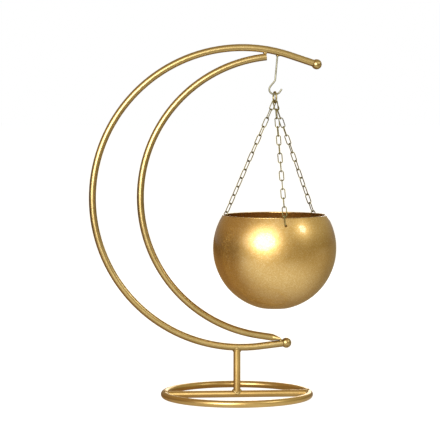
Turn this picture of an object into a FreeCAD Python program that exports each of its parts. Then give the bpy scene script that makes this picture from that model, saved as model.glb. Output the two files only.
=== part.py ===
import FreeCAD, Part
import math
import os

# Plant stand with a hanging bowl: a crescent of two bent tubes on a ring base, and a bowl on three chains.
# Sizes are in millimetres and angles in degrees.
# The origin is on the floor at the centre of the base ring: +X is right, +Y is the back, +Z is up.
# The crescent lies in the plane y = 0. Arc angles run from +X through +Z.

Vector = FreeCAD.Vector
RIGHT = Vector(1, 0, 0)
BACK = Vector(0, 1, 0)
UP = Vector(0, 0, 1)

# Tube stock, joints and welds
TUBE_DIAMETER = 8.0
TUBE_WALL = 1.0
FIT_UP_GAP = 0.1  # between a coped tube end and the tube that it meets
WELD_SEAT = 0.05  # between a weld bead and the tubes under it
WELD_LEG = 2.0  # how far a bead spreads along each tube
CROSSBAR_WELD_LEG = 1.3

# Base
BASE_RING_RADIUS = 82.6  # to the centreline of the tube
SEAM_WIDTH = 1.2
ARC_RISE = 57.3  # floor to the lowest point of the outer arc's centreline

# Crescent
OUTER_ARC_RADIUS = 170.0
ARC_SHIFT = 6.4  # centre of the outer arc, right of the post
CRESCENT_DEPTH = 54.1  # centreline to centreline at the widest place
UPPER_JOIN_ANGLE = 80.4  # where the inner arc ends under the outer arc
LOWER_BEND_ANGLE = -83.3  # where the outer arc's bend ends and its lower straight begins
ARC_GAP = 0.2  # between the two tubes where they are welded
PINCH_SLIT = 1.0  # height of the bore left in the pinched tip
UPPER_OVERHANG = 42.3  # outer arc beyond the hook
UPPER_STRAIGHT = 28.0  # unbent stretch at the outer arc's upper end
LOWER_STRAIGHT = 26.2  # unbent stretch at its lower end
INNER_STRAIGHT = 25.3  # unbent stretch at the inner arc's lower end
LOWER_OVERHANG = 2.0  # outer arc beyond the pinched tip
BALL_DIAMETER = 11.6
SPIGOT_LENGTH = 6.0
SPIGOT_PLAY = 0.3

# Hook
HOOK_WIRE = 2.0
HOOK_SETBACK = 12.8  # weld of the hook, right of the inner arc's upper end
HOOK_LEAN = 3.2  # weld of the hook, right of its lowest stretch
HOOK_DROP = 47.7  # centreline of the outer arc down to the hook's lowest centreline
HOOK_BEND_RADIUS = 5.2
HOOK_FLAT = 2.4  # straight stretch at the bottom that carries the ring
HOOK_ENTRY_ANGLE = 141.0  # on the left bend, where the slanted stretch ends
HOOK_EXIT_ANGLE = -35.0  # on the right bend, where the tip begins
HOOK_SLANT = 8.8
HOOK_SHOULDER_RADIUS = 5.0
HOOK_TIP = 4.2
HOOK_WELD_HEIGHT = 2.2
HOOK_WELD_SPREAD = 1.2

# Hang ring
RING_DIAMETER = 14.0
RING_WIRE = 2.2
RING_YAW = 10.0  # turn of the ring's plane from square to the hook
HANG_PLAY = 0.3  # hook to ring and ring to first link

# Chains
CHAIN_NAMES = ("front", "right", "left")
FRONT_CHAIN_ANGLE = 5.0  # right of straight ahead; the others follow a third of a turn apart
LINK_WIRE = 1.1
LINK_INNER_LENGTH = 10.886
LINK_INNER_WIDTH = 3.5
LINK_PLAY = 0.15
FIRST_LINK_PLAY = 0.311  # between neighbouring links on the ring
END_LINK_TURN = 20.0  # of the last link, from square to the rim
END_LINK_INSET = 0.384  # of the last link's middle, inside the middle of the bowl's wall
END_LINK_PIVOT = 0.6  # share of the way up to the rim where a tilted last link keeps its inset
END_LINK_SINK = 3.0  # drop of the last link in its hole for a tilt with a sine of one

# Bowl
BOWL_RADIUS = 70.0
BOWL_WALL = 1.0
BOWL_RIM_ANGLE = 32.3  # rim above the widest place, seen from the centre of the sphere
BOWL_FOOT_RADIUS = 16.0  # flat under the bowl, before its edge is rounded
BOWL_FOOT_ROUNDING = 4.0
RIM_THICKNESS = 1.4
RIM_PLAY = 0.711  # rim to the link above the last one
HOLE_PLAY = 2.15  # chain hole wider than the wire
HOLE_SEAT = 0.55  # wire below the top of the hole
FOOT_CLEARANCE = 20.0  # least height of the bowl above the inner arc

TUBE_RADIUS = TUBE_DIAMETER / 2
BORE_RADIUS = TUBE_RADIUS - TUBE_WALL


def in_plane(angle, distance=1.0):
    """Vector in the crescent's plane at an arc angle."""
    turn = math.radians(angle)
    return Vector(distance * math.cos(turn), 0, distance * math.sin(turn))


def unit(vector):
    """Copy of a vector with length one."""
    return Vector(vector).normalize()


def circle_with_straight(first, second, end, straight):
    """Centre and radius of the circle through two points that a tangent of this length joins to the end."""
    to_second = (second - first) * 2
    to_end = (end - first) * 2
    second_sum = second.dot(second) - first.dot(first)
    end_sum = end.dot(end) - first.dot(first) - straight**2
    area = to_second.x * to_end.z - to_second.z * to_end.x
    across = (second_sum * to_end.z - end_sum * to_second.z) / area
    height = (to_second.x * end_sum - to_end.x * second_sum) / area
    centre = Vector(across, 0, height)
    return centre, (first - centre).Length


def arc_angle(point, centre):
    """Arc angle of a point, from 0 to 360."""
    offset = point - centre
    return math.degrees(math.atan2(offset.z, offset.x)) % 360


# Layout of the crescent
ARC_CENTRE = Vector(ARC_SHIFT, 0, ARC_RISE + OUTER_ARC_RADIUS)
TOUCH_DISTANCE = OUTER_ARC_RADIUS - TUBE_DIAMETER - ARC_GAP  # round inner tube against the outer one
PINCH_HALF = TUBE_WALL + PINCH_SLIT / 2
PINCH_HALF_WIDTH = PINCH_HALF + math.pi * (TUBE_RADIUS - PINCH_HALF) / 2  # same girth as the tube
OUTER_END = 360 + LOWER_BEND_ANGLE
LOWER_WAY = in_plane(OUTER_END + 90)  # along the lower straight
LOWER_NORMAL = in_plane(OUTER_END + 180)  # up from it
LOWER_BEND = ARC_CENTRE + in_plane(OUTER_END, OUTER_ARC_RADIUS)
LOWER_SEAT = LOWER_BEND + LOWER_WAY * LOWER_STRAIGHT
TIP_ROOT = LOWER_SEAT - LOWER_WAY * LOWER_OVERHANG + LOWER_NORMAL * TUBE_RADIUS
UPPER_JOIN = ARC_CENTRE + in_plane(UPPER_JOIN_ANGLE, TOUCH_DISTANCE)
LOWER_JOIN = TIP_ROOT + LOWER_NORMAL * (ARC_GAP + PINCH_HALF)
WIDEST = ARC_CENTRE + in_plane(180, OUTER_ARC_RADIUS - CRESCENT_DEPTH)
INNER_CENTRE, INNER_ARC_RADIUS = circle_with_straight(UPPER_JOIN, WIDEST, LOWER_JOIN, INNER_STRAIGHT)
INNER_START = arc_angle(UPPER_JOIN, INNER_CENTRE)
INNER_END = arc_angle(LOWER_JOIN, INNER_CENTRE) - math.degrees(math.atan(INNER_STRAIGHT / INNER_ARC_RADIUS))
INNER_WAY = in_plane(INNER_END + 90)  # along the inner arc's straight
INNER_BEND = INNER_CENTRE + in_plane(INNER_END, INNER_ARC_RADIUS)
CLOSING = -INNER_WAY.dot(LOWER_NORMAL)  # of the two straights, for each millimetre along the inner one
PINCH_LENGTH = (TUBE_RADIUS - PINCH_HALF) / CLOSING  # from where a round tube would touch the lower straight

# Layout of the hook
HOOK_WELD_X = UPPER_JOIN.x + HOOK_SETBACK
HOOK_ANGLE = math.degrees(math.acos((HOOK_WELD_X - ARC_CENTRE.x) / OUTER_ARC_RADIUS))
HOOK_HEAD = ARC_CENTRE + in_plane(HOOK_ANGLE, OUTER_ARC_RADIUS)
HOOK_LOW = Vector(HOOK_WELD_X - HOOK_LEAN, 0, HOOK_HEAD.z - HOOK_DROP)
OUTER_START = HOOK_ANGLE - math.degrees((UPPER_OVERHANG - UPPER_STRAIGHT) / OUTER_ARC_RADIUS)
UPPER_WAY = in_plane(OUTER_START - 90)  # along the upper straight
UPPER_BEND = ARC_CENTRE + in_plane(OUTER_START, OUTER_ARC_RADIUS)
UPPER_SEAT = UPPER_BEND + UPPER_WAY * UPPER_STRAIGHT

# Layout of the hang ring
RING_RADIUS = (RING_DIAMETER - RING_WIRE) / 2
RING_TOP = HOOK_LOW + UP * (HOOK_WIRE / 2 + HANG_PLAY + RING_WIRE / 2)
RING_CENTRE = RING_TOP - UP * RING_RADIUS
RING_LEVEL = Vector(math.sin(math.radians(RING_YAW)), -math.cos(math.radians(RING_YAW)), 0)
RING_AXIS = UP.cross(RING_LEVEL)
RING_BOTTOM = RING_CENTRE - UP * RING_RADIUS

# Layout of the bowl and its chains
WALL_MIDDLE = BOWL_RADIUS - BOWL_WALL / 2
HOLE_DIAMETER = LINK_WIRE + HOLE_PLAY
HOLE_LIFT = HOLE_PLAY / 2 - HOLE_SEAT  # last wire above the middle of its hole
NEXT_LINK = LINK_INNER_LENGTH - LINK_PLAY - LINK_WIRE / 2  # last wire up to the link above it
RIM_TO_HOLE = NEXT_LINK + HOLE_LIFT - RIM_THICKNESS / 2 - RIM_PLAY
HOLE_ANGLE = BOWL_RIM_ANGLE - math.degrees(RIM_TO_HOLE / WALL_MIDDLE)
HOLE_REACH = in_plane(HOLE_ANGLE, WALL_MIDDLE)  # hole from the bowl's centre
FOOT_DEPTH = math.sqrt(BOWL_RADIUS**2 - BOWL_FOOT_RADIUS**2)
FIRST_LINK_LIFT = RING_WIRE / 2 + HANG_PLAY + LINK_WIRE / 2
LINK_PITCH = LINK_INNER_LENGTH - LINK_PLAY


def chain_length(links):
    """Length of a taut chain from the middle of the ring's wire to the middle of the last wire."""
    return links * LINK_PITCH + LINK_WIRE + LINK_PLAY - FIRST_LINK_LIFT


def links_per_chain():
    """Largest count of links that keeps the bowl clear of the inner arc below it."""
    from_centre = RING_BOTTOM.x - INNER_CENTRE.x
    arc_top = INNER_CENTRE.z - math.sqrt(INNER_ARC_RADIUS**2 - from_centre**2) + TUBE_RADIUS
    lowest_end = arc_top + FOOT_CLEARANCE + FOOT_DEPTH + HOLE_REACH.z
    longest = math.hypot(RING_BOTTOM.z - lowest_end, HOLE_REACH.x)
    return math.floor((longest - chain_length(0)) / LINK_PITCH)


LINK_COUNT = links_per_chain()
CHAIN_LEAN = math.asin(HOLE_REACH.x / chain_length(LINK_COUNT))  # from plumb
END_TILT = math.sin(math.radians(HOLE_ANGLE) - CHAIN_LEAN)  # of the last link against the wall
END_INSET = END_LINK_INSET + END_TILT * END_LINK_PIVOT * RIM_TO_HOLE
END_LIFT = HOLE_LIFT - max(END_TILT, 0) * END_LINK_SINK
END_ANGLE = HOLE_ANGLE + math.degrees(END_LIFT / WALL_MIDDLE)
END_REACH = in_plane(END_ANGLE, WALL_MIDDLE - END_INSET)  # last wire from the bowl's centre
CHAIN_DROP = math.sqrt(chain_length(LINK_COUNT) ** 2 - END_REACH.x**2)
BOWL_CENTRE = RING_BOTTOM - UP * (CHAIN_DROP + END_REACH.z)


def chain_heading(index):
    """Level direction in which a chain leaves the ring: front first, then right and left."""
    turn = math.radians(FRONT_CHAIN_ANGLE + index * 360 / len(CHAIN_NAMES))
    return Vector(math.sin(turn), -math.cos(turn), 0)


def tube_bend(centre, radius, start, end, outer, bore=0.0):
    """Round tube, or bar where the bore is zero, bent about a centre of the crescent's plane."""
    middle = centre + in_plane(start, radius)
    along = in_plane(start + 90)
    rims = [Part.Wire(Part.makeCircle(outer, middle, along))]
    if bore > 0:
        rims.append(Part.Wire(Part.makeCircle(bore, middle, along)))
    return Part.Face(rims, "Part::FaceMakerBullseye").revolve(centre, -BACK, end - start)


def straight_tube(start, end):
    """Straight length of the tube stock between two points."""
    along = end - start
    tube = Part.makeCylinder(TUBE_RADIUS, along.Length, start, along)
    return tube.cut(Part.makeCylinder(BORE_RADIUS, along.Length, start, along))


def swept_wire(edges, diameter):
    """Round wire swept along edges that follow each other smoothly."""
    path = Part.Wire(edges)
    start = edges[0].valueAt(edges[0].FirstParameter)
    along = edges[0].tangentAt(edges[0].FirstParameter)
    rim = Part.Wire(Part.makeCircle(diameter / 2, start, along))
    return path.makePipeShell([rim], True, False)


def line(start, end):
    """Straight edge."""
    return Part.LineSegment(start, end).toShape()


def arc(start, through, end):
    """Round edge through three points."""
    return Part.Arc(start, through, end).toShape()


def placed(shape, width, along, origin):
    """Copy of a shape with its X axis on width, its Z axis on along and its origin moved."""
    side = along.cross(width)
    columns = [width, side, along, origin]
    rows = [getattr(column, axis) for axis in "xyz" for column in columns]
    moved = shape.copy()
    moved.Placement = FreeCAD.Placement(FreeCAD.Matrix(*rows, 0, 0, 0, 1))
    return moved


def outer_arc_path():
    """Centreline of the outer arc: its bend between the two straight ends."""
    middle = ARC_CENTRE + in_plane((OUTER_START + OUTER_END) / 2, OUTER_ARC_RADIUS)
    return [line(UPPER_SEAT, UPPER_BEND), arc(UPPER_BEND, middle, LOWER_BEND), line(LOWER_BEND, LOWER_SEAT)]


def outer_arc_bar(extra):
    """Full round bar along the outer arc, wider than the tube by a clearance."""
    return swept_wire(outer_arc_path(), TUBE_DIAMETER + 2 * extra)


def inner_arc_bar(extra):
    """Full round bar along the inner arc's bend, wider than the tube by a clearance."""
    return tube_bend(INNER_CENTRE, INNER_ARC_RADIUS, INNER_START, INNER_END, TUBE_RADIUS + extra)


def base_ring_bar(extra):
    """Full round bar along the base ring, wider than the tube by a clearance."""
    return Part.makeTorus(BASE_RING_RADIUS, TUBE_RADIUS + extra, UP * TUBE_RADIUS, UP)


def crossbar_bar(extra):
    """Full round bar along the crossbar, wider than the tube by a clearance."""
    start = UP * TUBE_RADIUS - RIGHT * BASE_RING_RADIUS
    return Part.makeCylinder(TUBE_RADIUS + extra, 2 * BASE_RING_RADIUS, start, RIGHT)


def post_bar(extra):
    """Full round bar along the post, wider than the tube by a clearance."""
    return Part.makeCylinder(TUBE_RADIUS + extra, ARC_RISE, UP * TUBE_RADIUS, UP)


def base_ring():
    """Ring bent from one tube, open by the width of its butt weld at the back."""
    seam = math.degrees(SEAM_WIDTH / BASE_RING_RADIUS)
    return base_ring_sector(90 + seam / 2, 360 - seam)


def base_ring_seam_weld():
    """Butt weld that closes the ring, dressed flush with the tube."""
    seam = math.degrees(SEAM_WIDTH / BASE_RING_RADIUS)
    return base_ring_sector(90 - seam / 2, seam)


def base_ring_sector(start, sweep):
    """Stretch of the ring's tube, with plan angles from +X through +Y."""
    turn = math.radians(start)
    outward = Vector(math.cos(turn), math.sin(turn), 0)
    middle = UP * TUBE_RADIUS + outward * BASE_RING_RADIUS
    along = UP.cross(outward)
    rims = [Part.Wire(Part.makeCircle(radius, middle, along)) for radius in (TUBE_RADIUS, BORE_RADIUS)]
    return Part.Face(rims, "Part::FaceMakerBullseye").revolve(Vector(), UP, sweep)


def base_crossbar():
    """Bar across the ring, with both ends coped to the ring's inside."""
    end = RIGHT * BASE_RING_RADIUS
    bar = straight_tube(UP * TUBE_RADIUS - end, UP * TUBE_RADIUS + end)
    return bar.cut(base_ring_bar(FIT_UP_GAP))


def crossbar_welds():
    """Collar of weld at each end of the crossbar, kept off the floor."""
    reach = TUBE_RADIUS + CROSSBAR_WELD_LEG
    inside = BASE_RING_RADIUS - TUBE_RADIUS
    beads = []
    for side in (-RIGHT, RIGHT):
        root = UP * TUBE_RADIUS + side * (inside - CROSSBAR_WELD_LEG)
        depth = CROSSBAR_WELD_LEG + TUBE_RADIUS / 2
        bead = Part.makeCone(TUBE_RADIUS, reach + TUBE_RADIUS / 2, depth, root, side)
        room = Part.makeBox(2 * BASE_RING_RADIUS, 2 * reach, 2 * TUBE_RADIUS)
        room.translate(Vector(-BASE_RING_RADIUS, -reach, FIT_UP_GAP))
        bead = bead.common(room)
        bead = bead.cut(base_ring_bar(WELD_SEAT))
        beads.append(bead.cut(crossbar_bar(WELD_SEAT)))
    return Part.makeCompound([solid for bead in beads for solid in bead.Solids])


def post():
    """Short post, coped over the crossbar below and under the outer arc above."""
    tube = straight_tube(UP * TUBE_RADIUS, UP * ARC_RISE)
    return tube.cut(crossbar_bar(FIT_UP_GAP)).cut(outer_arc_bar(FIT_UP_GAP))


def post_foot_weld():
    """Fillet weld round the post's foot, over the top of the crossbar."""
    top = TUBE_DIAMETER + WELD_LEG
    spread = TUBE_RADIUS + WELD_LEG
    flare = Part.makeCone(spread, TUBE_RADIUS, WELD_LEG, UP * TUBE_DIAMETER, UP)
    skirt = Part.makeCone(TUBE_RADIUS + WELD_LEG / 2, spread, TUBE_RADIUS, UP * TUBE_RADIUS, UP)
    room = Part.makeCylinder(spread, top, Vector(), UP)
    bead = flare.fuse(skirt).common(room)
    return bead.cut(crossbar_bar(WELD_SEAT)).cut(post_bar(WELD_SEAT))


def post_head_weld():
    """Fillet weld round the post's head, under the outer arc."""
    level = ARC_RISE - TUBE_RADIUS
    spread = TUBE_RADIUS + WELD_LEG
    flare = Part.makeCone(TUBE_RADIUS, spread, WELD_LEG, UP * (level - WELD_LEG), UP)
    skirt = Part.makeCone(spread, TUBE_RADIUS + WELD_LEG / 2, TUBE_RADIUS, UP * level, UP)
    bead = flare.fuse(skirt)
    return bead.cut(outer_arc_bar(WELD_SEAT)).cut(post_bar(WELD_SEAT))


def outer_arc():
    """Large tube of the crescent, with a short straight left by the bending at each end."""
    return outer_arc_bar(0).cut(outer_arc_bar(-TUBE_WALL))


def pinch_section(distance, half_width, half_height):
    """Outline of the inner arc's tube at a distance from its tip: round, or pressed flat."""
    middle = LOWER_JOIN - INNER_WAY * distance
    outward = in_plane(INNER_END)
    shoulder = math.sqrt(0.5)
    corner_width = half_width - half_height * (1 - shoulder)
    corner_height = half_height * shoulder

    def at(width, height):
        return middle + BACK * width + outward * height

    right = at(corner_width, corner_height), at(corner_width, -corner_height)
    left = at(-corner_width, -corner_height), at(-corner_width, corner_height)
    edges = [
        arc(left[1], at(0, half_height), right[0]),
        arc(right[0], at(half_width, 0), right[1]),
        arc(right[1], at(0, -half_height), left[0]),
        arc(left[0], at(-half_width, 0), left[1]),
    ]
    return Part.Wire(edges)


def pinched_tip(inset):
    """Solid of the pressed lower end, smaller all round by an inset."""
    round_half = TUBE_RADIUS - inset
    tip_width = PINCH_HALF_WIDTH - inset
    tip_height = PINCH_HALF - inset
    sections = [
        pinch_section(PINCH_LENGTH, round_half, round_half),
        pinch_section(PINCH_LENGTH / 2, (round_half + tip_width) / 2, (round_half + tip_height) / 2),
        pinch_section(0, tip_width, tip_height),
    ]
    return Part.makeLoft(sections, True, True)


def inner_arc():
    """Small tube of the crescent: cut square above, pressed flat on the outer arc below."""
    bend = tube_bend(INNER_CENTRE, INNER_ARC_RADIUS, INNER_START, INNER_END, TUBE_RADIUS, BORE_RADIUS)
    straight = straight_tube(INNER_BEND, LOWER_JOIN - INNER_WAY * PINCH_LENGTH)
    tip = pinched_tip(0).cut(pinched_tip(TUBE_WALL))
    return bend.fuse([straight, tip])


def upper_arc_weld():
    """Bead in the groove between the two arcs, front and back, near the inner arc's upper end."""
    groove = ARC_CENTRE + in_plane(UPPER_JOIN_ANGLE, OUTER_ARC_RADIUS - TUBE_RADIUS - ARC_GAP / 2)
    back_from_end = in_plane(INNER_START + 90, WELD_LEG)
    beads = []
    for side in (-BACK, BACK):
        bead = Part.makeSphere(WELD_LEG, groove + back_from_end + side * WELD_LEG)
        beads.append(bead.cut(outer_arc_bar(WELD_SEAT)).cut(inner_arc_bar(WELD_SEAT)))
    return Part.makeCompound([bead.Solids[0] for bead in beads])


def lower_arc_weld():
    """Bead across the end of the pinched tip, on top of the outer arc."""
    half = BACK * TUBE_RADIUS * math.sqrt(0.5)
    bead = Part.makeCylinder(WELD_LEG, 2 * half.Length, TIP_ROOT - half, BACK)
    bead = bead.fuse([Part.makeSphere(WELD_LEG, TIP_ROOT + half), Part.makeSphere(WELD_LEG, TIP_ROOT - half)])
    bead = bead.cut(outer_arc_bar(WELD_SEAT)).cut(pinched_tip(-WELD_SEAT))
    return bead.cut(ball_end(LOWER_SEAT, LOWER_WAY, WELD_SEAT))


def ball_end(seat, way, extra=0.0):
    """Ball with a flat on the tube's end face and a spigot in its bore."""
    radius = BALL_DIAMETER / 2 + extra
    centre_height = math.sqrt((BALL_DIAMETER / 2) ** 2 - TUBE_RADIUS**2)
    ball = Part.makeSphere(radius, UP * centre_height)
    below = Part.makeCylinder(radius, radius, -UP * radius, UP)
    spigot = Part.makeCylinder(BORE_RADIUS - SPIGOT_PLAY, SPIGOT_LENGTH, -UP * SPIGOT_LENGTH, UP)
    return placed(ball.cut(below).fuse(spigot), BACK, way, seat)


def hook_bar(wire):
    """Bent wire of the hook, from inside the outer arc down to its tip."""
    left_centre = HOOK_LOW + UP * HOOK_BEND_RADIUS - RIGHT * (HOOK_FLAT / 2)
    right_centre = HOOK_LOW + UP * HOOK_BEND_RADIUS + RIGHT * (HOOK_FLAT / 2)
    entry = left_centre + in_plane(HOOK_ENTRY_ANGLE, HOOK_BEND_RADIUS)
    slant = in_plane(HOOK_ENTRY_ANGLE + 90)
    shoulder = entry - slant * HOOK_SLANT
    shank = unit(shoulder - HOOK_HEAD)
    turn = shank.getAngle(slant)
    trim = HOOK_SHOULDER_RADIUS * math.tan(turn / 2)
    bulge = HOOK_SHOULDER_RADIUS * (1 / math.cos(turn / 2) - 1)
    bend_start = shoulder - shank * trim
    bend_middle = shoulder + unit(slant - shank) * bulge
    bend_end = shoulder + slant * trim
    left_low = left_centre - UP * HOOK_BEND_RADIUS
    right_low = right_centre - UP * HOOK_BEND_RADIUS
    leave = right_centre + in_plane(HOOK_EXIT_ANGLE, HOOK_BEND_RADIUS)
    left_middle = left_centre + in_plane((HOOK_ENTRY_ANGLE + 270) / 2, HOOK_BEND_RADIUS)
    right_middle = right_centre + in_plane((HOOK_EXIT_ANGLE - 90) / 2, HOOK_BEND_RADIUS)
    edges = [
        line(HOOK_HEAD, bend_start),
        arc(bend_start, bend_middle, bend_end),
        line(bend_end, entry),
        arc(entry, left_middle, left_low),
        line(left_low, right_low),
        arc(right_low, right_middle, leave),
        line(leave, leave + in_plane(HOOK_EXIT_ANGLE + 90, HOOK_TIP)),
    ]
    return swept_wire(edges, wire)


def hook():
    """Wire hook, cut to the underside of the outer arc."""
    return hook_bar(HOOK_WIRE).cut(outer_arc_bar(FIT_UP_GAP))


def hook_weld():
    """Small cone of weld where the hook meets the outer arc."""
    under = HOOK_HEAD - UP * TUBE_RADIUS
    foot = HOOK_WIRE / 2 + HOOK_WELD_SPREAD
    bead = Part.makeCone(HOOK_WIRE / 2, foot, HOOK_WELD_HEIGHT, under - UP * HOOK_WELD_HEIGHT, UP)
    bead = bead.fuse(Part.makeCylinder(foot, HOOK_WELD_SPREAD, under, UP))
    return bead.cut(outer_arc_bar(WELD_SEAT)).cut(hook_bar(HOOK_WIRE + 2 * WELD_SEAT))


def hang_ring():
    """Closed wire ring on the bottom of the hook."""
    return Part.makeTorus(RING_RADIUS, RING_WIRE / 2, RING_CENTRE, RING_AXIS)


def chain_link():
    """One closed link about the origin, long along Z and wide along X."""
    half_width = (LINK_INNER_WIDTH + LINK_WIRE) / 2
    half_leg = (LINK_INNER_LENGTH - LINK_INNER_WIDTH) / 2
    crown = half_leg + half_width
    across = RIGHT * half_width
    rise = UP * half_leg
    edges = [
        line(across - rise, across + rise),
        arc(across + rise, UP * crown, rise - across),
        line(rise - across, -rise - across),
        arc(-rise - across, -UP * crown, across - rise),
    ]
    return swept_wire(edges, LINK_WIRE)


def hung_chain(index):
    """Links of one taut chain, from the hang ring to its hole in the bowl."""
    closing = (chain_heading(0) - chain_heading(1)).dot(RING_LEVEL) * math.tan(CHAIN_LEAN)
    spacing = LINK_WIRE + FIRST_LINK_PLAY + FIRST_LINK_LIFT * closing
    spread = 2 * math.asin(spacing / (2 * RING_RADIUS))
    place = spread * (1, 0, -1)[index]
    heading = chain_heading(index)
    top = RING_CENTRE + (RING_LEVEL * math.sin(place) - UP * math.cos(place)) * RING_RADIUS
    bottom = BOWL_CENTRE + heading * END_REACH.x + UP * END_REACH.z
    along = unit(bottom - top)
    top = top - along * FIRST_LINK_LIFT
    outer_length = LINK_INNER_LENGTH + LINK_WIRE
    pitch = ((bottom - top).Length - outer_length) / (LINK_COUNT - 1)
    inward = unit(heading - along * heading.dot(along))
    sideways = along.cross(inward)
    first_width = RING_AXIS - along * RING_AXIS.dot(along)
    first_turn = math.degrees(math.atan2(first_width.dot(sideways), first_width.dot(inward)))
    quarter_turns = 90 * (LINK_COUNT - 1)
    twist = (END_LINK_TURN - first_turn - quarter_turns + 90) % 180 - 90
    link = chain_link()
    links = []
    for number in range(LINK_COUNT):
        turn = math.radians(first_turn + number * (90 + twist / (LINK_COUNT - 1)))
        width = inward * math.cos(turn) + sideways * math.sin(turn)
        middle = top + along * (outer_length / 2 + number * pitch)
        links.append(placed(link, width, along, middle))
    return links


def bowl_profile():
    """Half section of the bowl's sheet about its own centre: sphere, rounded foot edge and flat."""
    sides = []
    for radius, depth, rounding in (
        (BOWL_RADIUS, FOOT_DEPTH, BOWL_FOOT_ROUNDING),
        (BOWL_RADIUS - BOWL_WALL, FOOT_DEPTH - BOWL_WALL, BOWL_FOOT_ROUNDING - BOWL_WALL),
    ):
        edge_z = rounding - depth
        edge_x = math.sqrt((radius - rounding) ** 2 - edge_z**2)
        edge = Vector(edge_x, 0, edge_z)
        meet_angle = math.degrees(math.atan2(edge_z, edge_x))
        rim = in_plane(BOWL_RIM_ANGLE, radius)
        meet = in_plane(meet_angle, radius)
        flat = edge - UP * rounding
        wall = arc(rim, in_plane((BOWL_RIM_ANGLE + meet_angle) / 2, radius), meet)
        corner = arc(meet, edge + in_plane((meet_angle - 90) / 2, rounding), flat)
        sides.append((rim, wall, corner, flat, -UP * depth))
    (rim, wall, corner, flat, foot), (inner_rim, inner_wall, inner_corner, inner_flat, floor) = sides
    edges = [wall, corner, line(flat, foot), line(foot, floor), line(floor, inner_flat)]
    edges += [inner_corner, inner_wall, line(inner_rim, rim)]
    return Part.Face(Part.Wire(Part.__sortEdges__(edges)))


def bowl():
    """Spun bowl with a rounded rim, a flat foot and a hole for each chain."""
    shell = bowl_profile().revolve(Vector(), UP, 360)
    rim_middle = in_plane(BOWL_RIM_ANGLE, WALL_MIDDLE)
    rim = Part.makeTorus(rim_middle.x, RIM_THICKNESS / 2, UP * rim_middle.z, UP)
    shell = shell.fuse(rim)
    for index in range(len(CHAIN_NAMES)):
        level = math.cos(math.radians(HOLE_ANGLE))
        outward = chain_heading(index) * level + UP * math.sin(math.radians(HOLE_ANGLE))
        start = outward * (BOWL_RADIUS - BOWL_WALL - HOLE_DIAMETER)
        shell = shell.cut(Part.makeCylinder(HOLE_DIAMETER / 2, 2 * HOLE_DIAMETER + BOWL_WALL, start, outward))
    shell.translate(BOWL_CENTRE)
    return shell


def build():
    """All pieces by name."""
    pieces = {
        "base_ring": base_ring(),
        "base_ring_seam_weld": base_ring_seam_weld(),
        "base_crossbar": base_crossbar(),
        "crossbar_welds": crossbar_welds(),
        "post": post(),
        "post_foot_weld": post_foot_weld(),
        "post_head_weld": post_head_weld(),
        "outer_arc": outer_arc(),
        "inner_arc": inner_arc(),
        "upper_arc_weld": upper_arc_weld(),
        "lower_arc_weld": lower_arc_weld(),
        "upper_ball": ball_end(UPPER_SEAT, UPPER_WAY),
        "lower_ball": ball_end(LOWER_SEAT, LOWER_WAY),
        "hook": hook(),
        "hook_weld": hook_weld(),
        "hang_ring": hang_ring(),
        "bowl": bowl(),
    }
    for index, name in enumerate(CHAIN_NAMES):
        for number, link in enumerate(hung_chain(index), start=1):
            pieces[f"{name}_chain_link_{number:02d}"] = link
    return pieces


os.makedirs("parts", exist_ok=True)
for node, shape in build().items():
    shape.exportStep(f"parts/{node}.step")
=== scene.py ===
"""Studio scene of a table-top plant stand: a crescent of gold tube on a ring base, with a bowl hung on chains."""

import logging
import math
import random
from collections.abc import Callable
from dataclasses import dataclass
from enum import Enum
from typing import Any

import bmesh
import bpy
import numpy
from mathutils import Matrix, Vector, noise


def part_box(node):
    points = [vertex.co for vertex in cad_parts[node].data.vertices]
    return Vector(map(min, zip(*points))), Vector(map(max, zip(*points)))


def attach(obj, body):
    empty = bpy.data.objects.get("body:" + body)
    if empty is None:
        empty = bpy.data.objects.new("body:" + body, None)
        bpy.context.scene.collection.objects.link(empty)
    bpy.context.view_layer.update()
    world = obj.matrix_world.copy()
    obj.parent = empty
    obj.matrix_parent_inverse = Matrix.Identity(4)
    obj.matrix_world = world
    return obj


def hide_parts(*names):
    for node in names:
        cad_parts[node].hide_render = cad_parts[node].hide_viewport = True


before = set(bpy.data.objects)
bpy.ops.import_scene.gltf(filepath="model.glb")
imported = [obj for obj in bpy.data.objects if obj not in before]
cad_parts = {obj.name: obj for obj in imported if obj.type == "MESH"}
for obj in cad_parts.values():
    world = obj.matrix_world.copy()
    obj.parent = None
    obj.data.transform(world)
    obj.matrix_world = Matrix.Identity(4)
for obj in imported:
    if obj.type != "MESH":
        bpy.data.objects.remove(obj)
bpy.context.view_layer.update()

LOG = logging.getLogger("plant_stand")
MM = 0.001
FULL_TURN = 2 * math.pi
RIGHT = Vector((1, 0, 0))
BACK = Vector((0, 1, 0))
UP = Vector((0, 0, 1))
WHITE = (1.0, 1.0, 1.0)
NOISE_RANGE = (0.3, 0.7)  # holds most values of a noise texture
Colour = tuple[float, float, float]
Direction = tuple[float, float, float]
Range = tuple[float, float]
Path = list[Vector]
Socket = bpy.types.NodeSocket


class Body(str, Enum):
    """Bodies that the pieces ride on."""

    STAND = "stand"
    HANG_RING = "hang_ring"
    SLING = "bowl_sling"


class Slot(str, Enum):
    """Material slots of the record."""

    FRAME = "frame_paint"
    CHAIN = "chain_plating"


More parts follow.
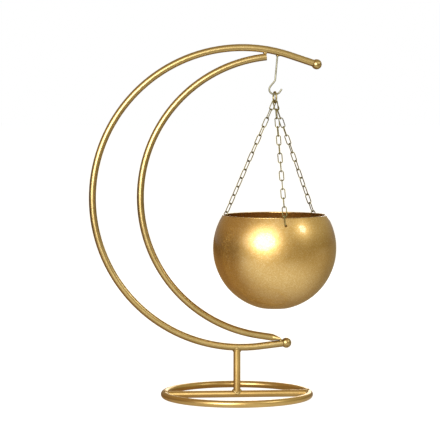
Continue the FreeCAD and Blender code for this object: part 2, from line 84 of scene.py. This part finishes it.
class NodeSketch:
    """Short way to add and join the nodes of one tree."""

    MIX_COLOURS = (6, 7)  # colour inputs of a Mix node
    MIX_RESULT = 2  # colour output of a Mix node

    def __init__(self, tree: bpy.types.NodeTree) -> None:
        """Start with an empty tree.

        Args:
            tree: Node tree of a material or a world.
        """
        self.tree = tree
        tree.nodes.clear()

    def add(self, kind: str, **values: Any) -> bpy.types.Node:
        """Add a node and set its attributes or the inputs of the same name.

        Args:
            kind: Type name of the node.
            values: Attribute or input name, with underscores for spaces, and its value or a socket to link.

        Returns:
            The new node.
        """
        node = self.tree.nodes.new(kind)
        for name, value in values.items():
            if hasattr(node, name):
                setattr(node, name, value)
            else:
                self.feed(node.inputs[name.replace("_", " ")], value)
        return node

    def feed(self, target: Socket, value: Any) -> None:
        """Link a socket to an input, or set the input's own value.

        Args:
            target: Input of a node.
            value: Socket to link, or a value.
        """
        if isinstance(value, Socket):
            self.tree.links.new(value, target)
        else:
            target.default_value = value

    def noise(self, place: Socket, scale: float, detail: float = 3.0) -> Socket:
        """Grey noise from 0 to 1 at a number of waves per metre."""
        return self.add("ShaderNodeTexNoise", Vector=place, Scale=scale, Detail=detail).outputs["Fac"]

    def spread(self, value: Socket, edges: Range, results: Range) -> Socket:
        """Map a range of values to another, clamped.

        Args:
            value: Socket to map.
            edges: Values in at the two ends.
            results: Values out at the two ends.

        Returns:
            Mapped socket.
        """
        node = self.add("ShaderNodeMapRange", Value=value)
        for label, number in zip(("From Min", "From Max", "To Min", "To Max"), (*edges, *results)):
            node.inputs[label].default_value = number
        return node.outputs["Result"]

    def fade(self, value: Socket, edges: Range) -> Socket:
        """Share that goes from 0 to 1 between two values."""
        return self.spread(value, edges, (0.0, 1.0))

    def along(self, place: Socket, way: Direction) -> Socket:
        """Measure how far a place lies along a direction.

        Args:
            place: Socket with the place.
            way: Direction.

        Returns:
            Distance as a socket.
        """
        node = self.add("ShaderNodeVectorMath", operation="DOT_PRODUCT")
        for target, value in zip(node.inputs, (place, way)):
            self.feed(target, value)
        return node.outputs["Value"]

    def blend(self, share: Socket, first: Any, second: Any) -> Socket:
        """Mix two colours.

        Args:
            share: Socket with the share of the second colour.
            first: Colour or socket.
            second: Colour or socket.

        Returns:
            Mixed colour.
        """
        node = self.add("ShaderNodeMix", data_type="RGBA")
        self.feed(node.inputs["Factor"], share)
        for index, colour in zip(self.MIX_COLOURS, (first, second)):
            self.feed(node.inputs[index], colour if isinstance(colour, Socket) else (*colour, 1.0))
        return node.outputs[self.MIX_RESULT]

    def bump(self, height: Socket, depth: float, normal: Socket | None = None) -> Socket:
        """Bump a normal.

        Args:
            height: Socket with heights from 0 to 1.
            depth: Height of 1 in metres.
            normal: Normal to start from, if not the surface's own.

        Returns:
            Bumped normal.
        """
        node = self.add("ShaderNodeBump", Height=height, Distance=depth)
        if normal is not None:
            self.feed(node.inputs["Normal"], normal)
        return node.outputs["Normal"]


def blank_material(name: str) -> tuple[bpy.types.Material, NodeSketch, Socket]:
    """Make a material with an empty node tree.

    Args:
        name: Name of the material.

    Returns:
        Material, sketch of its nodes, and the place on the object.
    """
    made = bpy.data.materials.new(name)
    made.use_nodes = True
    sketch = NodeSketch(made.node_tree)
    return made, sketch, sketch.add("ShaderNodeTexCoord").outputs["Object"]


@dataclass(frozen=True)
class FlakePaint:
    """Metallic paint: fine flake, uneven spray tone and a soft orange peel.

    Scales are in waves per metre, and depths in metres.
    """

    name: str
    light: Colour
    deep: Colour
    roughness: float = 0.34
    edge: Colour = (0.6, 0.48, 0.32)
    flake: Colour = (1.0, 0.84, 0.48)
    flake_scale: float = 2200.0
    flake_depth: float = 0.9e-6
    flake_range: Range = (0.5, 1.0)
    glitter: float = 0.12
    cloud_scale: float = 38.0
    rub_scale: float = 160.0
    rub: float = 0.025
    peel_scale: float = 700.0
    peel_depth: float = 1.5e-6
    lump_scale: float = 900.0
    lump_depth: float = 0.0
    coat: float = 1.0
    coat_roughness: float = 0.32

    def material(self) -> bpy.types.Material:
        """Build the node material.

        Returns:
            New material.
        """
        made, sketch, place = blank_material(self.name)
        cells = sketch.add("ShaderNodeTexVoronoi", Vector=place, Scale=self.flake_scale)
        grain = sketch.add("ShaderNodeSeparateColor", Color=cells.outputs["Color"]).outputs
        rough = sketch.spread(
            sketch.noise(place, self.rub_scale), NOISE_RANGE, (self.roughness - self.rub, self.roughness + self.rub)
        )
        shader = sketch.add(
            "ShaderNodeBsdfPrincipled", Base_Color=self.tone(sketch, place, grain), Metallic=1.0, Roughness=rough,
            Normal=self.skin(sketch, place, grain), Specular_Tint=(*self.edge, 1.0),
            Coat_Weight=self.coat, Coat_Roughness=self.coat_roughness,
        )
        sketch.add("ShaderNodeOutputMaterial", Surface=shader.outputs["BSDF"])
        return made

    def tone(self, sketch: NodeSketch, place: Socket, grain: bpy.types.NodeOutputs) -> Socket:
        """Mix the colour of the paint with its bright and its deep flakes.

        Args:
            sketch: Sketch of the material's nodes.
            place: Place on the object.
            grain: Three random values for each flake.

        Returns:
            Colour of the paint.
        """
        cloud = sketch.fade(sketch.noise(place, self.cloud_scale, detail=4.0), NOISE_RANGE)
        sprayed = sketch.blend(cloud, self.light, self.deep)
        shade = sketch.spread(grain["Green"], self.flake_range, (0.0, self.glitter))
        glint = sketch.spread(grain["Red"], self.flake_range, (0.0, self.glitter))
        return sketch.blend(glint, sketch.blend(shade, sprayed, self.deep), self.flake)

    def skin(self, sketch: NodeSketch, place: Socket, grain: bpy.types.NodeOutputs) -> Socket:
        """Bump the surface with orange peel, flakes and, over a weld, lumps.

        Args:
            sketch: Sketch of the material's nodes.
            place: Place on the object.
            grain: Three random values for each flake.

        Returns:
            Bumped normal.
        """
        peel = sketch.bump(sketch.noise(place, self.peel_scale, detail=2.0), self.peel_depth)
        flaked = sketch.bump(grain["Blue"], self.flake_depth, peel)
        if not self.lump_depth:
            return flaked
        return sketch.bump(sketch.noise(place, self.lump_scale, detail=4.0), self.lump_depth, flaked)


@dataclass(frozen=True)
class PlatedWire:
    """Plated wire: fine drawing marks, tarnish in patches and a satin shine.

    Scales are in waves per metre, and depths in metres.
    """

    name: str
    bright: Colour
    tarnish: Colour
    roughness: float = 0.38
    dulling: float = 0.16
    patch_scale: float = 90.0
    patch_range: Range = (0.42, 0.68)
    mark_scale: float = 2600.0
    mark_depth: float = 2e-6

    def material(self) -> bpy.types.Material:
        """Build the node material.

        Returns:
            New material.
        """
        made, sketch, place = blank_material(self.name)
        patches = sketch.fade(sketch.noise(place, self.patch_scale, detail=5.0), self.patch_range)
        shader = sketch.add(
            "ShaderNodeBsdfPrincipled", Base_Color=sketch.blend(patches, self.bright, self.tarnish), Metallic=1.0,
            Roughness=sketch.spread(patches, (0.0, 1.0), (self.roughness, self.roughness + self.dulling)),
            Normal=sketch.bump(sketch.noise(place, self.mark_scale), self.mark_depth),
        )
        sketch.add("ShaderNodeOutputMaterial", Surface=shader.outputs["BSDF"])
        return made


@dataclass(frozen=True)
class Finishes:
    """Materials that the sub-assemblies share."""

    arc_paint_painted_shade: bpy.types.Material
    base_paint_painted_warm_light: bpy.types.Material
    weld_paint: bpy.types.Material
    bowl_paint: bpy.types.Material
    chain_brass: bpy.types.Material
    ring_brass: bpy.types.Material
    hook_brass: bpy.types.Material

    @classmethod
    def mixed(cls) -> "Finishes":
        """Build every finish once.

        Returns:
            Finishes for all sub-assemblies.
        """
        # The arc and base copies of the one gold paint differ only to paint in light: the arc copy is darker, a
        # painted shade, and the base copy is lighter and warmer, a painted warm bounce light. The weld copy takes
        # the arc copy's darker tones.
        arc = FlakePaint("satin_gold_arc_paint", (0.59, 0.445, 0.185), (0.50, 0.37, 0.13))
        base = FlakePaint("satin_gold_base_paint", (0.75, 0.53, 0.195), (0.655, 0.445, 0.142))
        weld = FlakePaint("gold_paint_over_weld", arc.light, arc.deep, lump_depth=0.08 * MM)
        bowl = FlakePaint(
            "satin_gold_bowl_paint", (0.77, 0.52, 0.18), (0.69, 0.45, 0.14), roughness=0.41, edge=WHITE,
            flake_scale=1500.0, glitter=0.5, coat_roughness=0.10,
        )
        chain = PlatedWire("aged_brass_chain", (0.385, 0.355, 0.165), (0.195, 0.172, 0.075))
        ring = PlatedWire("pale_brass_ring", (0.52, 0.46, 0.25), (0.29, 0.25, 0.12))
        hook = PlatedWire("dull_brass_wire", (0.42, 0.42, 0.32), (0.31, 0.31, 0.23), roughness=0.44)
        return cls(*(finish.material() for finish in (arc, base, weld, bowl, chain, ring, hook)))


@dataclass
class Bead:
    """Rippled weld bead that follows a path over the tubes."""

    radius: float
    ripple: float = 0.10
    pitch: float = 1.3 * MM
    skew: float = 0.6
    lump: float = 0.16
    lump_size: float = 2.2 * MM
    run_out: float = 0.16
    tip: float = 0.02
    sides: int = 14
    seed: int = 1

    DRIFT = (7.3, 3.1, 1.7)  # step in the noise from one seed to the next

    def grow(self, work: bmesh.types.BMesh, path: Path, closed: bool) -> None:
        """Add the bead along a path to a mesh.

        Args:
            work: Mesh to add to.
            path: Points of the middle of the bead, close together.
            closed: Whether the path ends where it starts.
        """
        count = len(path)
        rings = []
        travelled = 0.0
        side = None
        for index, point in enumerate(path):
            ahead = path[(index + 1) % count] if closed else path[min(index + 1, count - 1)]
            behind = path[index - 1] if closed or index else path[0]
            along = (ahead - behind).normalized()
            side = along.orthogonal() if side is None else side - along * side.dot(along)
            side.normalize()
            reach = self.radius if closed else self.radius * self.taper(index, count)
            spots = self.section(point, side, along.cross(side), reach, travelled)
            rings.append([work.verts.new(spot) for spot in spots])
            travelled += (ahead - point).length
        for first, second in zip(rings, rings[1:] + rings[:1] if closed else rings[1:]):
            for step in range(self.sides):
                after = (step + 1) % self.sides
                work.faces.new((first[step], first[after], second[after], second[step]))
        if not closed:
            work.faces.new(list(reversed(rings[0])))
            work.faces.new(rings[-1])

    def taper(self, index: int, count: int) -> float:
        """Share of the full size at a point of an open bead, less towards both ends."""
        share = min(index, count - 1 - index) / (count - 1)
        return math.sqrt(min(1.0, max(self.tip, share / self.run_out)))

    def section(self, point: Vector, side: Vector, across: Vector, reach: float, travelled: float) -> Path:
        """Points round the bead at one place.

        Args:
            point: Middle of the bead.
            side: First direction across the bead.
            across: Second direction across the bead.
            reach: Radius of the bead here, before ripples and lumps.
            travelled: Distance from the start of the bead.

        Returns:
            Points in order.
        """
        drift = Vector([self.seed * step for step in self.DRIFT])
        spots = []
        for step in range(self.sides):
            turn = FULL_TURN * step / self.sides
            out = side * math.cos(turn) + across * math.sin(turn)
            wave = math.sin(FULL_TURN * travelled / self.pitch + self.skew * math.cos(turn))
            rough = noise.noise((point + out * self.radius) / self.lump_size + drift)
            spots.append(point + out * (reach * (1 + self.ripple * wave + self.lump * rough)))
        return spots

    def mesh(self, name: str, paths: list[Path], closed: bool) -> bpy.types.Mesh:
        """Build a mesh of one or more beads.

        Args:
            name: Name of the mesh.
            paths: One path for each bead.
            closed: Whether the paths end where they start.

        Returns:
            Smooth mesh.
        """
        work = bmesh.new()
        for path in paths:
            self.grow(work, path, closed)
        bmesh.ops.recalc_face_normals(work, faces=work.faces)
        for face in work.faces:
            face.smooth = True
        made = bpy.data.meshes.new(name)
        work.to_mesh(made)
        work.free()
        return made


def loop(point: Callable[[float], Vector], start: float = 0.0, end: float = FULL_TURN, count: int = 96) -> Path:
    """Points of a path given by a turn.

    Args:
        point: Gives the point for a turn in radians.
        start: First turn.
        end: Last turn, left out where it closes the path.
        count: Number of points.

    Returns:
        Points in order.
    """
    whole = math.isclose(end - start, FULL_TURN)
    steps = count if whole else count - 1
    return [point(start + (end - start) * index / steps) for index in range(count)]


def soft_size(value: float, softness: float = 0.015) -> float:
    """Size of a number without the sharp turn at zero."""
    return math.sqrt(value * value + softness)


def ring_round(middle: Vector, first: Vector, second: Vector, reach: float, count: int) -> Path:
    """Circle about a point, in the plane of two directions."""
    return loop(lambda turn: middle + (first * math.cos(turn) + second * math.sin(turn)) * reach, count=count)


@dataclass
class Assembly:
    """Bench work that the sub-assemblies share."""

    finishes: Finishes

    def build(self) -> None:
        """Build and dress the sub-assembly."""
        raise NotImplementedError

    @staticmethod
    def dress(material: bpy.types.Material, *nodes: str) -> None:
        """Give solids of the frame a material.

        Args:
            material: Material for each solid.
            nodes: Names of the solids.
        """
        for name in nodes:
            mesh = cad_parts[name].data
            mesh.materials.clear()
            mesh.materials.append(material)
            LOG.info("dressed %s with %s", name, material.name)

    @staticmethod
    def piece(
        mesh: bpy.types.Mesh, material: bpy.types.Material, body: Body, slot: Slot, stands_for: tuple[str, ...] = ()
    ) -> None:
        """Turn a mesh into a piece that rides on a body.

        Args:
            mesh: Mesh of the piece, in place and with its name.
            material: Finish of the piece.
            body: Body that it rides on.
            slot: Slot of the record; not used.
            stands_for: Solids that it replaces.
        """
        made = bpy.data.objects.new(mesh.name, mesh)
        bpy.context.scene.collection.objects.link(made)
        mesh.materials.append(material)
        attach(made, body.value)
        if stands_for:
            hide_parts(*stands_for)
        LOG.info("built %s on %s", made.name, body.value)

    def weld(self, name: str, bead: Bead, paths: list[Path], closed: bool, *stands_for: str) -> None:
        """Lay a painted weld on the stand.

        Args:
            name: Name of the piece.
            bead: Bead to lay.
            paths: One path for each run.
            closed: Whether the paths end where they start.
            stands_for: Solids that the weld replaces.
        """
        self.piece(bead.mesh(name, paths, closed), self.finishes.weld_paint, Body.STAND, Slot.FRAME, stands_for)


@dataclass
class Base(Assembly):
    """Ring base with its crossbar, post and welds."""

    tube_radius: float = 4 * MM
    ring_radius: float = 82.6 * MM
    arc_rise: float = 57.3 * MM
    foot_bead: float = 1.4 * MM
    head_bead: float = 0.9 * MM
    crossbar_bead: float = 1.0 * MM
    bead_wrap: float = 0.8

    def build(self) -> None:
        """Dress the tubes and lay the weld beads."""
        # The base copy of the gold paint is lighter and warmer than the arc copy: painted warm light.
        self.dress(self.finishes.base_paint_painted_warm_light, "base_ring", "base_crossbar", "post")
        self.dress(self.finishes.weld_paint, "base_ring_seam_weld")
        foot = loop(lambda turn: self.post_path(turn, self.tube_radius, 1))
        head = loop(lambda turn: self.post_path(turn, self.arc_rise, -1))
        self.weld("post_foot_bead", Bead(self.foot_bead, seed=2), [foot], True, "post_foot_weld")
        self.weld("post_head_bead", Bead(self.head_bead, seed=5), [head], True, "post_head_weld")
        start, end = -self.bead_wrap, math.pi + self.bead_wrap
        ends = [loop(lambda turn, side=side: self.crossbar_path(turn, side), start, end) for side in (-1, 1)]
        self.weld("crossbar_end_beads", Bead(self.crossbar_bead, seed=3), ends, False, "crossbar_welds")

    def post_path(self, turn: float, middle: float, side: int) -> Vector:
        """Point where the post's skin meets a tube that lies across it.

        Args:
            turn: Turn about the post.
            middle: Height of the tube's middle.
            side: 1 on top of the tube and -1 under it.

        Returns:
            Point on both skins.
        """
        reach = self.tube_radius
        height = middle + side * reach * soft_size(math.cos(turn))
        return Vector((reach * math.cos(turn), reach * math.sin(turn), height))

    def crossbar_path(self, turn: float, end: int) -> Vector:
        """Point where the crossbar's skin meets the inside of the ring.

        Args:
            turn: Turn about the crossbar.
            end: -1 for its left end and 1 for its right end.

        Returns:
            Point on both skins.
        """
        reach = self.tube_radius
        wide = reach * math.cos(turn)
        around = self.ring_radius - reach * soft_size(math.cos(turn))
        return Vector((end * math.sqrt(around**2 - wide**2), wide, reach + reach * math.sin(turn)))


@dataclass
class Crescent(Assembly):
    """Two bent tubes with their welds and ball ends."""

    centre: Vector = Vector((6.4 * MM, 0, 227.3 * MM))
    radius: float = 170 * MM
    tube_radius: float = 4 * MM
    upper_join: float = math.radians(80.4)
    lower_bend: float = math.radians(276.7)
    lower_straight: float = 26.2 * MM
    joint_bead: float = 1.5 * MM
    joint_ends: Range = (0.2 * MM, 4.6 * MM)
    joint_depth: float = 1.5 * MM
    joint_steps: int = 24
    tip_setback: float = 2 * MM
    tip_bead: float = 1.6 * MM
    tip_half_width: float = 3.2 * MM
    tip_sag: float = 0.9 * MM
    tip_steps: int = 15

    def build(self) -> None:
        """Dress the tubes and balls and lay the weld beads."""
        # The arc copy of the gold paint is darker than the base copy: painted shade.
        self.dress(self.finishes.arc_paint_painted_shade, "outer_arc", "inner_arc", "upper_ball", "lower_ball")
        grooves = [self.groove_path(side) for side in (-1, 1)]
        self.weld("upper_joint_beads", Bead(self.joint_bead, seed=6), grooves, False, "upper_arc_weld")
        self.weld("pinched_tip_bead", Bead(self.tip_bead, seed=7), [self.tip_path()], False, "lower_arc_weld")

    def on_arc(self, angle: float, reach: float, back: float = 0.0) -> Vector:
        """Point at an arc angle and a distance from the centre of the outer arc."""
        return self.centre + Vector((reach * math.cos(angle), back, reach * math.sin(angle)))

    def groove_path(self, side: int) -> Path:
        """Short path in the groove between the two tubes.

        Args:
            side: -1 for the front and 1 for the back.

        Returns:
            Points in order.
        """
        reach = self.radius - self.tube_radius
        start, end = (self.upper_join + length / self.radius for length in self.joint_ends)
        return loop(lambda angle: self.on_arc(angle, reach, side * self.joint_depth), start, end, self.joint_steps)

    def tip_path(self) -> Path:
        """Path across the end of the pinched tip, on top of the outer arc.

        Returns:
            Points in order, lower at both sides where the bead runs down the tube.
        """
        way = Vector((-math.sin(self.lower_bend), 0, math.cos(self.lower_bend)))
        upright = way.cross(BACK)
        seat = self.on_arc(self.lower_bend, self.radius) + way * self.lower_straight
        root = seat - way * self.tip_setback + upright * self.tube_radius
        shares = [index / self.tip_steps for index in range(-self.tip_steps, self.tip_steps + 1)]
        return [
            root + BACK * (share * self.tip_half_width) - upright * (self.tip_sag * share**2) for share in shares
        ]


@dataclass
class Hook(Assembly):
    """Wire hook with the weld at its head."""

    head: Vector = Vector((46.18 * MM, 0, 388.58 * MM))
    wire_radius: float = 1 * MM
    bead: float = 1.0 * MM
    bead_drop: float = 0.3 * MM
    bead_seat: float = 0.2 * MM
    bead_steps: int = 60

    def build(self) -> None:
        """Dress the wire and lay its weld."""
        self.dress(self.finishes.hook_brass, "hook")
        reach = self.wire_radius + self.bead_seat
        path = ring_round(self.head - UP * self.bead_drop, RIGHT, BACK, reach, self.bead_steps)
        self.weld("hook_bead", Bead(self.bead, seed=11), [path], True, "hook_weld")


@dataclass
class Sling(Assembly):
    """Hang ring and the three chains, with the butt seams of their wire."""

    link_wire_radius: float = 0.55 * MM
    link_half_width: float = 2.3 * MM
    ring_wire_radius: float = 1.1 * MM
    ring_radius: float = 5.9 * MM
    ring_yaw: float = math.radians(10)
    seam_height: float = 0.16 * MM
    seam_sink: float = 0.04 * MM
    seam_shift: float = 0.4 * MM
    link_steps: int = 24
    ring_steps: int = 36
    side_seed: int = 4

    def build(self) -> None:
        """Dress the ring and the links and add their seams."""
        links = [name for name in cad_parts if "_chain_link_" in name]
        brass, pale = self.finishes.chain_brass, self.finishes.ring_brass
        self.dress(pale, "hang_ring")
        self.dress(brass, *links)
        upset = Bead(self.seam_height, ripple=0.0, lump=0.3, sides=8, seed=12)
        sides = random.Random(self.side_seed)
        paths = [self.link_seam(name, sides.choice((-1, 1))) for name in links]
        self.piece(upset.mesh("chain_link_seams", paths, True), brass, Body.SLING, Slot.CHAIN)
        self.piece(upset.mesh("hang_ring_seam", [self.ring_seam()], True), pale, Body.HANG_RING, Slot.CHAIN)

    def link_seam(self, name: str, side: int) -> Path:
        """Circle round one leg of a link, where its wire was closed.

        Args:
            name: Name of the link's solid.
            side: Which of the two legs, -1 or 1.

        Returns:
            Points in order.
        """
        points = numpy.array([vertex.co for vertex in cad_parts[name].data.vertices])
        middle = (points.min(axis=0) + points.max(axis=0)) / 2
        axes = numpy.linalg.svd(points - points.mean(axis=0), full_matrices=False)[2]
        along, width, through = (Vector(axis) for axis in axes)
        leg = Vector(middle) + width * side * self.link_half_width + along * self.seam_shift
        return ring_round(leg, width, through, self.link_wire_radius - self.seam_sink, self.link_steps)

    def ring_seam(self) -> Path:
        """Circle round the hang ring's wire at its front.

        Returns:
            Points in order.
        """
        low, high = (Vector(corner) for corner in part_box("hang_ring"))
        level = Vector((math.sin(self.ring_yaw), -math.cos(self.ring_yaw), 0))
        middle = (low + high) / 2 + level * self.ring_radius
        reach = self.ring_wire_radius - self.seam_sink
        return ring_round(middle, level, UP.cross(level), reach, self.ring_steps)


@dataclass
class Bowl(Assembly):
    """Spun bowl that hangs on the chains."""

    def build(self) -> None:
        """Dress the bowl."""
        self.dress(self.finishes.bowl_paint, "bowl")


@dataclass(frozen=True)
class SoftBox:
    """Soft light that faces the bowl, at a direction and distance from it; sizes in metres, power in watts."""

    name: str
    way: Direction
    size: Range
    power: float
    distance: float = 1.6

    def hang(self, target: Vector) -> None:
        """Hang the light.

        Args:
            target: Middle of the bowl.
        """
        light = bpy.data.lights.new(self.name, "AREA")
        light.shape = "ELLIPSE"
        light.size, light.size_y = self.size
        light.energy = self.power
        light.cycles.max_bounces = 0
        way = Vector(self.way)
        made = bpy.data.objects.new(self.name, light)
        made.location = target + way.normalized() * self.distance
        made.rotation_euler = way.to_track_quat("Z", "Y").to_euler()
        bpy.context.scene.collection.objects.link(made)
        LOG.info("hung %s", self.name)


SOFT_BOXES = (
    SoftBox("key_soft_box", (-0.407, -0.874, 0.263), (1.15, 0.95), 18.0),
    SoftBox("small_soft_box", (0.695, -0.475, 0.539), (0.37, 0.37), 2.8),
    SoftBox("top_soft_box", (0.15, -0.63, 0.76), (1.0, 0.5), 0.6),
    SoftBox("left_soft_box", (-0.80, -0.52, 0.25), (0.7, 0.7), 0.9),
    SoftBox("rear_soft_box", (0.20, 0.95, 0.22), (0.8, 0.8), 4.5, 1.8),
    SoftBox("wide_soft_box", (-0.35, -0.80, 0.40), (2.4, 1.5), 4.5, 1.9),
)


@dataclass
class Floor:
    """Round pale floor that shows white, and glows with painted warm and dark bounce light that the metal above it
    reflects.
    """

    radius: float = 14.0
    segments: int = 128
    grain_scale: float = 5.0
    greys: tuple[Colour, Colour] = ((0.40, 0.40, 0.40), (0.44, 0.44, 0.44))
    roughness: float = 0.9
    sheen: float = 0.1
    brightness: float = 0.92
    rightward: Range = (-0.15, 0.25)
    far_right: Range = (0.12, 0.42)
    far_left: Range = (-0.45, -0.9)
    forward_way: Direction = (-0.25, 1.0, 0.0)
    forward: Range = (0.04, -0.16)
    far_forward: Range = (-0.32, -0.5)
    # Colours of the painted bounce glow: painted warm and pale reflections, and a painted dark patch far to the
    # left.
    back_tones: tuple[Colour, Colour] = ((0.30, 0.17, 0.06), (0.30, 0.24, 0.14))
    front_tones: tuple[Colour, Colour] = ((0.94, 0.90, 0.78), (0.54, 0.46, 0.30))
    far_tones: tuple[Colour, Colour] = ((0.62, 0.50, 0.30), (0.34, 0.26, 0.13))
    dark_tone: Colour = (0.13, 0.07, 0.02)

    def lay(self) -> None:
        """Lay the floor as part of the stage."""
        work = bmesh.new()
        bmesh.ops.create_circle(work, cap_ends=True, segments=self.segments, radius=self.radius)
        mesh = bpy.data.meshes.new("pale_floor")
        work.to_mesh(mesh)
        work.free()
        mesh.materials.append(self.material())
        floor = bpy.data.objects.new("pale_floor", mesh)
        bpy.context.scene.collection.objects.link(floor)

    def material(self) -> bpy.types.Material:
        """Build the node material.

        Returns:
            New material.
        """
        made, sketch, place = blank_material("pale_floor_sheet")
        # Rays other than the camera's see only this painted bounce glow; the camera sees the evenly white sheet.
        painted_bounce_glow = sketch.add("ShaderNodeEmission", Color=self.painted_glow(sketch, place), Strength=1.0)
        grey = sketch.blend(sketch.noise(place, self.grain_scale), *self.greys)
        sheet = sketch.add(
            "ShaderNodeBsdfPrincipled", Base_Color=grey, Roughness=self.roughness, Specular_IOR_Level=self.sheen,
            Emission_Color=(*WHITE, 1.0), Emission_Strength=self.brightness,
        )
        seen = sketch.add("ShaderNodeLightPath").outputs["Is Camera Ray"]
        mixed = sketch.add("ShaderNodeMixShader")
        for target, value in zip(mixed.inputs, (seen, painted_bounce_glow.outputs["Emission"], sheet.outputs["BSDF"])):
            sketch.feed(target, value)
        sketch.add("ShaderNodeOutputMaterial", Surface=mixed.outputs["Shader"])
        made.cycles.emission_sampling = "NONE"
        return made

    def painted_glow(self, sketch: NodeSketch, place: Socket) -> Socket:
        """Painted bounce light that the floor gives off for rays from the metal: pale in front of the stand, warm
        behind it and dark far to the left.

        Args:
            sketch: Sketch of the material's nodes.
            place: Place on the floor.

        Returns:
            Colour of the light.
        """
        axes = sketch.add("ShaderNodeSeparateXYZ", Vector=place).outputs
        right = sketch.fade(axes["X"], self.rightward)
        front = sketch.fade(sketch.along(place, self.forward_way), self.forward)
        near = sketch.blend(sketch.fade(axes["X"], self.far_right), *self.front_tones)
        lit = sketch.blend(front, sketch.blend(right, *self.back_tones), near)
        beyond = sketch.blend(right, *self.far_tones)
        ahead = sketch.blend(sketch.fade(axes["Y"], self.far_forward), lit, beyond)
        return sketch.blend(sketch.fade(axes["X"], self.far_left), ahead, self.dark_tone)


@dataclass
class Room:
    """Surroundings: white where the camera sees them, with light and dark walls for the reflections."""

    rightward: Range = (-0.8, 0.8)
    backward: Range = (0.3, 0.9)
    forward: Range = (-0.3, -0.8)
    upward: Range = (0.0, 0.32)
    side_tones: tuple[Colour, Colour] = ((0.04, 0.02, 0.005), (0.11, 0.07, 0.02))
    front_tones: tuple[Colour, Colour] = ((0.60, 0.46, 0.25), (0.19, 0.14, 0.065))
    upper_tones: tuple[Colour, Colour] = ((0.36, 0.23, 0.10), (0.50, 0.44, 0.27))
    rear_tone: Colour = (0.25, 0.21, 0.19)

    def paint(self) -> None:
        """Make the surroundings the scene's world."""
        world = bpy.data.worlds.new("studio_room")
        world.use_nodes = True
        sketch = NodeSketch(world.node_tree)
        way = sketch.add("ShaderNodeTexCoord").outputs["Generated"]
        axes = sketch.add("ShaderNodeSeparateXYZ", Vector=way).outputs
        across = sketch.fade(axes["X"], self.rightward)
        sides = sketch.blend(across, *self.side_tones)
        rear = sketch.blend(sketch.fade(axes["Y"], self.backward), sides, self.rear_tone)
        walls = sketch.blend(sketch.fade(axes["Y"], self.forward), rear, sketch.blend(across, *self.front_tones))
        room = sketch.blend(sketch.fade(axes["Z"], self.upward), walls, sketch.blend(across, *self.upper_tones))
        seen = sketch.add("ShaderNodeLightPath").outputs["Is Camera Ray"]
        shader = sketch.add("ShaderNodeBackground", Color=sketch.blend(seen, room, WHITE), Strength=1.0)
        sketch.add("ShaderNodeOutputWorld", Surface=shader.outputs["Background"])
        world.cycles.sampling_method = "NONE"
        bpy.context.scene.world = world


@dataclass
class Studio:
    """Pale floor, soft lights, surroundings and the camera."""

    bowl_middle: Vector = Vector((43 * MM, 0, 170.3 * MM))
    target: Vector = Vector((-19.3 * MM, 0, 202.5 * MM))
    distance: float = 2.564
    azimuth: float = math.radians(-4.8)
    elevation: float = math.radians(3.64)
    lens: float = 185.2
    sensor: float = 36.0
    sight: float = 60.0

    def build(self) -> None:
        """Set up the floor, lights, surroundings and camera."""
        Floor().lay()
        for box in SOFT_BOXES:
            box.hang(self.bowl_middle)
        Room().paint()
        self.place_camera()
        bpy.context.scene.view_settings.view_transform = "Standard"

    def place_camera(self) -> None:
        """Place the camera at the photograph's angle."""
        lens = bpy.data.cameras.new("studio_camera")
        lens.lens = self.lens
        lens.sensor_width = self.sensor
        lens.clip_end = self.sight
        level = math.cos(self.elevation)
        way = Vector((math.sin(self.azimuth) * level, -math.cos(self.azimuth) * level, math.sin(self.elevation)))
        made = bpy.data.objects.new("studio_camera", lens)
        made.location = self.target + way * self.distance
        made.rotation_euler = way.to_track_quat("Z", "Y").to_euler()
        bpy.context.scene.collection.objects.link(made)
        bpy.context.scene.camera = made
        LOG.info("placed the camera")


def main() -> None:
    """Build the sub-assemblies in order."""
    logging.basicConfig(level=logging.INFO, format="%(name)s: %(message)s")
    finishes = Finishes.mixed()
    for assembly in (Base(finishes), Crescent(finishes), Hook(finishes), Sling(finishes), Bowl(finishes), Studio()):
        LOG.info("building %s", type(assembly).__name__)
        assembly.build()


if __name__ == "__main__":
    main()
